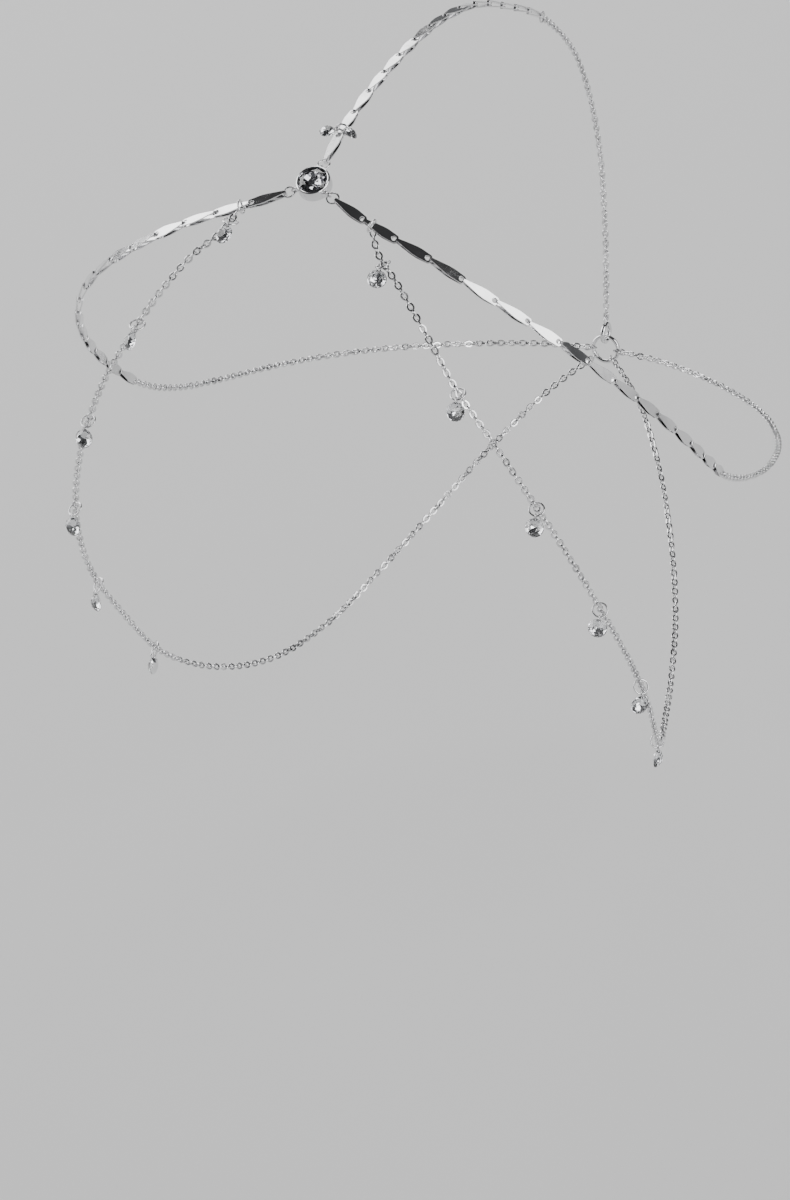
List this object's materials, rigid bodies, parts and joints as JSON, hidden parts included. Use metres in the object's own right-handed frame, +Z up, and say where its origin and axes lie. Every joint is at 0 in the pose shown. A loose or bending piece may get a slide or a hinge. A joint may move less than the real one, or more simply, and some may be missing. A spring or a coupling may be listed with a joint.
{
  "type": "head chain",
  "caption": "Head chain with a crystal on the forehead, fancy chains over the crown and sides, and fine chains with crystal drops hung over the temples.",
  "frame": {"origin": "where the crown chain rests at the top of the head, on its under side, in the plane of symmetry", "axes": "+Z up, the forehead stone faces -Y, +X to the wearer's left"},
  "size_m": [0.1402, 0.175, 0.1638],
  "materials": {
    "silver": "bright polished plating",
    "clear_crystal": "cut and polished",
    "smoky_crystal": "cut and polished, foiled back"
  },
  "bodies": {
    "root": {"centre_setting": "silver", "centre_stone": "smoky_crystal", "start_ring_crown": "silver", "crown_chain": "silver", "joint_ring_crown": "silver", "crown_trace": "silver", "crown_drop_ring": "silver", "crown_crystal_right": "clear_crystal", "crown_crystal_left": "clear_crystal", "start_ring_left": "silver", "side_chain_left": "silver", "joint_ring_left": "silver", "side_trace_left": "silver", "branch_ring_left": "silver", "drape_chain_left": "silver", "drop_ring_left_1": "silver", "drop_crystal_left_1": "clear_crystal", "drop_ring_left_2": "silver", "drop_crystal_left_2": "clear_crystal", "drop_ring_left_3": "silver", "drop_crystal_left_3": "clear_crystal", "drop_ring_left_4": "silver", "drop_crystal_left_4": "clear_crystal", "drop_ring_left_5": "silver", "drop_crystal_left_5": "clear_crystal", "drop_ring_left_6": "silver", "drop_crystal_left_6": "clear_crystal", "start_ring_right": "silver", "side_chain_right": "silver", "joint_ring_right": "silver", "side_trace_right": "silver", "branch_ring_right": "silver", "drape_chain_right": "silver", "drop_ring_right_1": "silver", "drop_crystal_right_1": "clear_crystal", "drop_ring_right_2": "silver", "drop_crystal_right_2": "clear_crystal", "drop_ring_right_3": "silver", "drop_crystal_right_3": "clear_crystal", "drop_ring_right_4": "silver", "drop_crystal_right_4": "clear_crystal", "drop_ring_right_5": "silver", "drop_crystal_right_5": "clear_crystal", "drop_ring_right_6": "silver", "drop_crystal_right_6": "clear_crystal", "back_ring": "silver", "clasp": "silver"}
  },
  "joints": []
}
